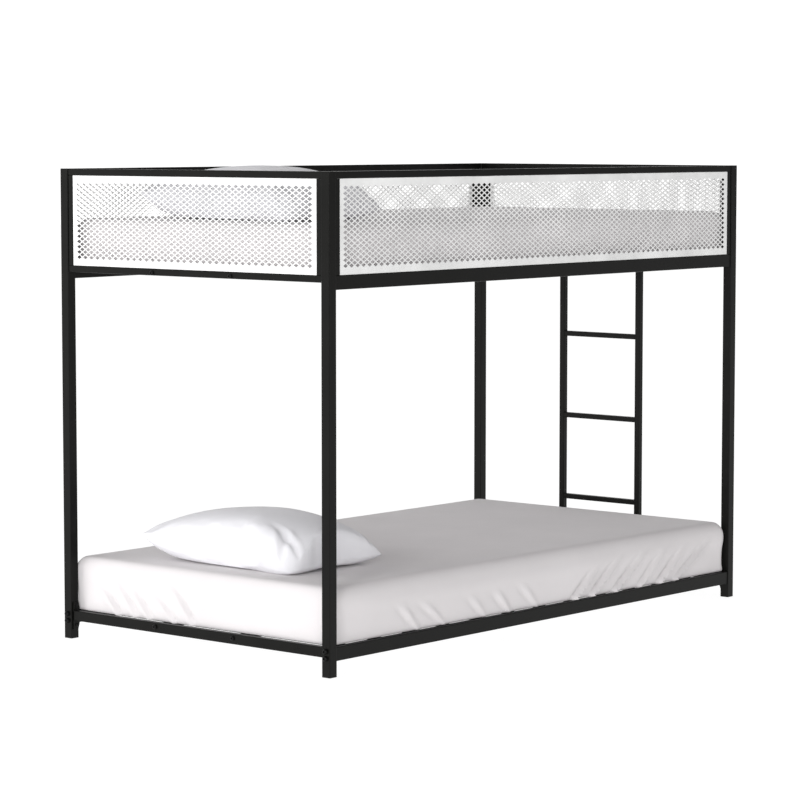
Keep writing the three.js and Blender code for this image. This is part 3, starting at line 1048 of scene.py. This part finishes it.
class BED_OT_mattresses(bpy.types.Operator):
    """Foam mattresses in fitted cotton covers, one on each deck"""

    bl_idname = "bunk_bed.mattresses"
    bl_label = "Mattresses"

    # How far the sides and the top lie inside the full width, at shares of the height.
    SIDE_INSET = (-0.003, -0.003, 0.0, 0.001, 0.001, 0.0, -0.004, -0.004, 0.001, 0.007, 0.015)
    SIDE_RISE = (0.0, 0.03, 0.08, 0.16, 0.26, 0.46, 0.64, 0.77, 0.88, 0.945, 0.978)
    TOP_INSET = (0.015, 0.024, 0.040, 0.110, 0.500)
    TOP_RISE = (0.978, 0.992, 0.998, 1.0, 1.0)
    FRAMES = 16
    CAP = 0.008  # the most that the cover moves off the foam
    LIFT = 0.0002  # the gap between the deck and the cover
    OVERHANG = 0.005  # over the end rails, between the posts
    # Where folds lie: axis and way that the side faces, start, stop, count, lean, height as a
    # share of the mattress's, depth.
    FOLDS = (
        (0, -1.0, -0.02, 0.37, 5, 0.9, 0.62, 0.0200),
        (1, -1.0, 0.08, 0.70, 6, 1.45, 0.72, 0.0165),
        (1, -1.0, -0.66, 0.02, 5, -1.3, 0.52, 0.0070),
        (1, 1.0, -0.70, 0.75, 10, 0.9, 0.45, 0.0050),
        (0, 1.0, -0.36, 0.36, 6, 0.7, 0.45, 0.0055),
    )
    # Where the cover has cloth to spare: centre, reach, amount, height as a share.
    SPARE = (
        ((-0.95, 0.20), 0.42, 0.8, 0.7),
        ((0.62, -0.50), 0.55, 0.9, 0.8),
        ((-0.25, -0.50), 0.60, 0.55, 0.5),
        ((0.0, 0.50), 0.90, 0.7, 0.6),
        ((0.95, 0.0), 0.50, 0.7, 0.6),
    )

    def block(self, name, low, high, cell):
        """The resting shape: close to the rail below, fullest high on its sides, rounded over."""
        middle = (low + high) / 2
        half = (high - low) / 2
        counts = [max(4, round(2 * h / cell)) for h in half]
        made = bmesh.new()
        verts = {}

        def vert(key):
            if key not in verts:
                verts[key] = made.verts.new([2 * k / n - 1 for k, n in zip(key, counts)])
            return verts[key]

        for axis in range(3):
            first, second = [k for k in range(3) if k != axis]
            steps = ((0, counts[axis]), range(counts[first]), range(counts[second]))
            for level, i, j in product(*steps):
                face = []
                for di, dj in ((0, 0), (1, 0), (1, 1), (0, 1)):
                    key = [level] * 3
                    key[first], key[second] = i + di, j + dj
                    face.append(vert(tuple(key)))
                made.faces.new(face)
        bmesh.ops.recalc_face_normals(made, faces=list(made.faces))
        block = object_from(name, made)
        co = values_of(block.data, "co")
        climb = (co[:, 2] + 1) / 2
        rise = np.where(climb < 1, climb * self.SIDE_RISE[-1], self.SIDE_RISE[-1])
        inset = np.interp(rise, self.SIDE_RISE, self.SIDE_INSET)
        corner = np.interp(inset, (-0.004, 0.015), (0.006, 0.016))
        reach = np.stack([half.x - 0.6 * inset, half.y - inset], axis=1)
        flat = co[:, :2] * reach
        edge = self.TOP_INSET[0] + (reach - np.abs(flat)).min(axis=1)
        straight = reach - corner[:, None]
        beyond = np.abs(flat) - straight
        both = (beyond > 0).all(axis=1)
        length = np.linalg.norm(beyond, axis=1)
        scale = np.where(both, beyond.max(axis=1) / np.maximum(length, 1e-9), 1.0)
        rounded = np.sign(flat) * (straight + beyond * scale[:, None])
        flat = np.where(both[:, None], rounded, flat)
        rise = np.where(climb < 1, rise, np.interp(edge, self.TOP_INSET, self.TOP_RISE))
        height = low.z + self.LIFT + rise * (high.z - low.z)
        placed = np.column_stack([flat[:, 0] + middle.x, flat[:, 1] + middle.y, height])
        put_coordinates(block.data, placed)
        return block

    def gather(self, piece, low, high):
        """Marks the cloth that the foam holds, and where the cover has some to spare."""
        co = values_of(piece.data, "co")
        rise = (co[:, 2] - low.z) / (high.z - low.z)
        middle = (low + high) / 2
        edge = np.abs(co[:, :2] - np.array(middle[:2])) / np.array((high - low)[:2]) * 2
        side = smoothstep(0.9, 0.97, edge.max(axis=1))
        spare = 0.12 * side
        for centre, reach, amount, top in self.SPARE:
            distance = np.linalg.norm(co[:, :2] - np.array(centre), axis=1)
            near = 1 - smoothstep(0.35 * reach, reach, distance)
            level = 1 - smoothstep(0.25 * top, top, rise)
            spare = np.maximum(spare, amount * near * level * side)
        held = np.maximum(smoothstep(0.86, 0.97, rise), 1 - smoothstep(0.0, 0.05, rise))
        held = np.maximum(held, smoothstep(0.93, 0.97, edge.min(axis=1)))
        for name, weight in (("spare cloth", spare), ("held", held)):
            group = piece.vertex_groups.new(name=name)
            for index in range(len(co)):
                group.add([index], float(weight[index]), "REPLACE")

    def fill_cover(self, piece, low, high, bedding):
        """Lets the foam fill the cover, which stays close to the resting shape."""
        rest = values_of(piece.data, "co")
        self.gather(piece, low, high)
        filled_cloth(
            piece,
            bedding.cover_push,
            self.FRAMES,
            mass=0.25,
            vertex_group_mass="held",
            vertex_group_shrink="spare cloth",
            shrink_max=-bedding.slack,
            tension_stiffness=20,
            compression_stiffness=20,
            shear_stiffness=8,
            bending_stiffness=0.3,
        )
        moved = values_of(piece.data, "co") - rest
        length = np.linalg.norm(moved, axis=1)
        share = self.CAP * np.tanh(length / self.CAP) / np.maximum(length, 1e-9)
        put_coordinates(piece.data, rest + moved * share[:, None])

    def fold(self, piece, low, high, seed):
        """Soft slanting folds low on the sides, as a tucked cover takes."""
        chance = random.Random(seed)
        co = values_of(piece.data, "co")
        normals = values_of(piece.data, "normal")
        moved = np.zeros(len(co))
        for axis, face, start, stop, count, lean, tall, depth in self.FOLDS:
            facing = smoothstep(0.5, 0.85, normals[:, axis] * face)
            for k in range(count):
                foot = start + (stop - start) * (k + 0.5 + chance.uniform(-0.25, 0.25)) / count
                reach = tall * (high.z - low.z) * chance.uniform(0.7, 1.1)
                slope = lean * chance.uniform(0.8, 1.2)
                rise = (co[:, 2] - low.z) / reach
                line = foot + slope * np.clip(rise, 0, 1.3) * reach
                spread = 0.009 + 0.009 * np.clip(rise, 0, 1)
                offset = (co[:, 1 - axis] - line) / spread
                fade = 1 - smoothstep(0.45, 1.1, rise)
                ridge = np.exp(-((offset - 1.5) ** 2) / 1.1)
                valley = np.exp(-offset * offset * 1.4) * smoothstep(-0.05, 0.3, rise)
                moved += depth * chance.uniform(0.7, 1.0) * (ridge - 0.75 * valley) * fade * facing
        put_coordinates(piece.data, co + normals * moved[:, None])

    def seat(self, piece, low, high):
        """Keeps the cover above the deck, and lets it hang over the end rails between the posts."""
        co = values_of(piece.data, "co")
        co[:, 2] = np.maximum(co[:, 2], low.z + self.LIFT)
        clear = 1 - smoothstep(0.455, 0.485, np.abs(co[:, 1]))
        rise = (co[:, 2] - low.z) / (high.z - low.z)
        at_end = np.abs(co[:, 0]) > 0.94
        overhang = self.OVERHANG * clear * (1 - smoothstep(0.0, 0.5, rise)) * at_end
        co[:, 0] += np.sign(co[:, 0]) * overhang
        reach = (high.x - low.x) / 2 + 0.001 + 0.009 * clear
        co[:, 0] = np.clip(co[:, 0], -reach, reach)
        put_coordinates(piece.data, co)

    def execute(self, context):
        bedding = context.scene.bunk_bed_bedding
        for level, seed in (("upper", 3), ("lower", 8)):
            node = f"{level}_mattress"
            low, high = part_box(node)
            mattress = self.block(f"{level}_mattress_in_cover", low, high, bedding.cover_cell)
            self.fill_cover(mattress, low, high, bedding)
            finer(mattress)
            self.fold(mattress, low, high, seed)
            self.seat(mattress, low, high)
            mattress.vertex_groups.clear()
            padded_piece(mattress, node, "mattress cotton")
        return {"FINISHED"}


class BED_OT_pillows(bpy.types.Operator):
    """Down pillows in cotton cases, sewn flat and filled until their corners point"""

    bl_idname = "bunk_bed.pillows"
    bl_label = "Pillows"

    CELL = 0.0088
    DRAW_IN = 0.05
    FRAMES = 30
    BELOW = 0.058  # how much of the pillow lies under its seam
    # Where each corner ends up: drawn in by a share of the half size, and lifted.
    TIPS = {
        (-1, 1): (0.0, 0.017),
        (-1, -1): (0.15, -0.045),
        (1, -1): (0.0, -0.028),
        (1, 1): (0.0, -0.012),
    }
    # Creases from the corners inward: both ends as shares of the half size, depth and width.
    CREASES = (
        ((-0.98, -0.86), (-0.50, -0.60), 0.011, 0.045),
        ((-0.80, -0.98), (-0.52, -0.42), 0.008, 0.045),
        ((-0.95, -0.70), (-0.70, -0.10), 0.006, 0.060),
        ((0.96, -0.92), (0.45, -0.50), 0.008, 0.050),
        ((0.84, -0.97), (0.58, -0.35), 0.006, 0.050),
        ((-0.96, 0.93), (-0.48, 0.52), 0.006, 0.050),
        ((0.96, 0.93), (0.50, 0.55), 0.007, 0.050),
    )

    def sewn_flat(self, name, width, length):
        """Two layers of cloth joined round their edge, lying a little apart."""
        made = bmesh.new()
        nx = round(width / self.CELL)
        ny = round(length / self.CELL)
        under, over = {}, {}
        for layer, sign in ((under, -1), (over, 1)):
            for i, j in product(range(nx + 1), range(ny + 1)):
                if sign < 0 and (i in (0, nx) or j in (0, ny)):
                    continue
                u = 2 * i / nx - 1
                v = 2 * j / ny - 1
                lift = 0.012 * ((1 - u * u) * (1 - v * v)) ** 0.5
                ripple = 0.0015 * noise.noise(Vector((u * 5, v * 7, 3.0 + sign)))
                x = u * width / 2 * (1 - self.DRAW_IN * (1 - v * v))
                y = v * length / 2 * (1 - 0.6 * self.DRAW_IN * (1 - u * u))
                layer[i, j] = made.verts.new((x, y, sign * lift + ripple))
        under = {**over, **under}
        for i, j in product(range(nx), range(ny)):
            square = ((i, j), (i + 1, j), (i + 1, j + 1), (i, j + 1))
            made.faces.new([over[key] for key in square])
            made.faces.new([under[key] for key in (square[0], *square[:0:-1])])
        return object_from(name, made)

    def filled(self, bedding):
        """One filled pillow about the origin."""
        pillow = self.sewn_flat("pillow_pattern", bedding.pillow_width, bedding.pillow_length)
        filled_cloth(
            pillow,
            2.6,
            self.FRAMES,
            mass=0.3,
            tension_stiffness=25,
            compression_stiffness=25,
            shear_stiffness=12,
            bending_stiffness=0.8,
        )
        smooth = pillow.modifiers.new("ease", "SMOOTH")
        smooth.factor = 0.5
        smooth.iterations = 4
        finer(pillow)
        return pillow

    def laid(self, co, above):
        """The filled pillow lying down: its underside is pressed flat and its corners droop."""
        below = self.BELOW
        half = np.abs(co[:, :2]).max(axis=0)
        share = co[:, :2] / half
        up = co[:, 2] > 0
        dome = np.clip(1 - np.abs(share) ** 2.6, 0, 1).prod(axis=1) ** 0.48
        filled = co[:, 2] * above / co[:, 2].max()
        plump = 0.42 * filled + 0.58 * above * dome
        pressed = -below * np.clip(1 - np.abs(share) ** 5, 0, 1).prod(axis=1) ** 0.5
        lying = np.where(up, plump, 0.3 * np.maximum(1.35 * co[:, 2], -below) + 0.7 * pressed)
        for start, stop, depth, width in self.CREASES:
            start = np.array(start)
            way = np.array(stop) - start
            along = ((share - start) @ way) / (way @ way)
            across = np.linalg.norm(share - start - np.clip(along, 0, 1)[:, None] * way, axis=1)
            fade = smoothstep(-0.1, 0.12, along) * (1 - smoothstep(0.3, 1.05, along))
            lip = np.exp(-((across / width - 1.9) ** 2))
            groove = np.exp(-((across / width) ** 2)) - 0.35 * lip
            lying = np.where(up, lying - depth * groove * fade, lying)
        flat = share * (1 + np.array([0.07, 0.03]) * (1 - share[:, ::-1] ** 2))
        for (sx, sy), (inward, lift) in self.TIPS.items():
            near = np.clip(sx * share[:, 0], 0, 1) * np.clip(sy * share[:, 1], 0, 1)
            tip = int(np.argmax(near))
            near /= near[tip]
            target = np.array([sx, sy]) * (1 - inward)
            flat += (target - flat[tip]) * (near**3)[:, None]
            lying = lying + lift * near**2.2
        return np.column_stack([flat * half, np.maximum(lying, -below)])

    def execute(self, context):
        pattern = self.filled(context.scene.bunk_bed_bedding)
        co = values_of(pattern.data, "co")
        co -= (co.min(axis=0) + co.max(axis=0)) / 2
        for level in ("upper", "lower"):
            node = f"{level}_pillow"
            low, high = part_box(node)
            placed = self.laid(co, high.z - low.z - self.BELOW)
            spread = np.abs(placed[:, :2]).max(axis=0)
            placed[:, :2] *= np.array(((high - low) / 2)[:2]) / spread
            middle = (low + high) / 2
            placed += np.array([middle.x, middle.y, low.z + self.BELOW])
            mesh = pattern.data.copy()
            mesh.name = f"{level}_pillow_in_case"
            piece = bpy.data.objects.new(mesh.name, mesh)
            context.scene.collection.objects.link(piece)
            put_coordinates(mesh, placed)
            padded_piece(piece, node, "pillow cotton")
        bpy.data.objects.remove(pattern)
        return {"FINISHED"}


# Stage


class BED_OT_stage(bpy.types.Operator):
    """Plain pale floor, soft light all round and the camera"""

    bl_idname = "bunk_bed.stage"
    bl_label = "Stage"

    TARGET = (0, 0, 0.7)
    FLOOR_REACH = 30.0
    FLOOR_DROP = 0.0004  # keeps the floor clear of the feet's undersides
    SENSOR = 36.0
    LENS = 137.46
    CAMERA_PLACE = (-7.2029, -6.0766, 1.5064)
    CAMERA_DIP = 0.0879
    CAMERA_TURN = -0.8657
    AWAY = (0.707, -0.707, 0.0)  # beyond the foot end's front

    def lamp(self, name, place, size, power, mirrored):
        data = bpy.data.lights.new(name, "AREA")
        data.shape = "RECTANGLE"
        data.size, data.size_y = size
        data.energy = power
        lamp = bpy.data.objects.new(name, data)
        lamp.location = place
        lamp.visible_camera = False
        lamp.visible_glossy = mirrored
        aim = Vector(self.TARGET) - Vector(place)
        lamp.rotation_euler = aim.to_track_quat("-Z", "Y").to_euler()
        bpy.context.scene.collection.objects.link(lamp)

    def room(self, stage):
        """White light from the sides, falling off overhead and away from the foot end's front."""
        world = bpy.data.worlds.new("studio")
        world.use_nodes = True
        room = Wiring(world.node_tree)
        way = room.add("ShaderNodeTexCoord").outputs["Generated"]
        up = room.add("ShaderNodeSeparateXYZ", {"Vector": way}).outputs["Z"]
        away = room.add("ShaderNodeVectorMath", {0: way, 1: self.AWAY}, operation="DOT_PRODUCT")
        values = {
            0: room.tones(up, WHITE, (stage.overhead,) * 3, 0.22, 0.75),
            "Scale": room.between(away.outputs["Value"], 1.0, stage.dim_side, 0.3, 0.95),
        }
        both = room.add("ShaderNodeVectorMath", values, operation="SCALE")
        backdrop = world.node_tree.nodes["Background"]
        room.put(backdrop, {"Strength": stage.room_light, "Color": both.outputs["Vector"]})
        return world

    def execute(self, context):
        scene = context.scene
        stage = scene.bunk_bed_stage
        made = bmesh.new()
        bmesh.ops.create_grid(made, x_segments=8, y_segments=8, size=self.FLOOR_REACH)
        floor = object_from("studio_floor", made)
        floor.data.transform(Matrix.Translation((0, 0, -self.FLOOR_DROP)))
        floor.data.materials.append(floor_material("studio floor", stage.floor_colour))
        scene.world = self.room(stage)
        self.lamp("head_end_softbox", (-5.0, 5.2, 1.5), (4.5, 3.0), stage.key_power, False)
        self.lamp("front_softbox", (-8.6, -7.6, 2.6), (1.0, 2.6), stage.edge_power, True)
        self.lamp("side_softbox", (-9.5, -3.6, 1.8), (1.5, 2.6), stage.side_power, False)
        data = bpy.data.cameras.new("camera")
        data.sensor_width = self.SENSOR
        data.lens = self.LENS
        camera = bpy.data.objects.new("camera", data)
        camera.location = self.CAMERA_PLACE
        camera.rotation_euler = (QUARTER_TURN - self.CAMERA_DIP, 0.0, self.CAMERA_TURN)
        scene.collection.objects.link(camera)
        scene.camera = camera
        scene.view_settings.view_transform = "Standard"
        return {"FINISHED"}


class BED_PT_panel(bpy.types.Panel):
    """Lists the bed's pieces in the sidebar"""

    bl_idname = "BED_PT_panel"
    bl_label = "Bunk bed"
    bl_space_type = "VIEW_3D"
    bl_region_type = "UI"
    bl_category = "Bunk bed"

    def draw(self, context):
        layout = self.layout
        for group in SETTINGS:
            box = layout.box()
            settings = getattr(context.scene, group)
            for name in settings.__annotations__:
                box.prop(settings, name)
        for operator in PIECES:
            layout.operator(operator.bl_idname)


SETTINGS = {
    "bunk_bed_steel": BedSteelSettings,
    "bunk_bed_guard": BedGuardSettings,
    "bunk_bed_bedding": BedBeddingSettings,
    "bunk_bed_stage": BedStageSettings,
}
PIECES = (
    BED_OT_posts,
    BED_OT_feet,
    BED_OT_rails,
    BED_OT_lower_end_rails,
    BED_OT_ladder,
    BED_OT_slats,
    BED_OT_guard_panels,
    BED_OT_bolts,
    BED_OT_mattresses,
    BED_OT_pillows,
    BED_OT_stage,
)
CLASSES = (*SETTINGS.values(), *PIECES, BED_PT_panel)


def register():
    for cls in CLASSES:
        bpy.utils.register_class(cls)
    for name, group in SETTINGS.items():
        setattr(bpy.types.Scene, name, PointerProperty(type=group))


def unregister():
    for name in SETTINGS:
        delattr(bpy.types.Scene, name)
    for cls in reversed(CLASSES):
        bpy.utils.unregister_class(cls)


def main():
    register()
    for operator in PIECES:
        group, name = operator.bl_idname.split(".")
        getattr(getattr(bpy.ops, group), name)()
    bpy.context.view_layer.update()


if __name__ == "__main__":
    main()
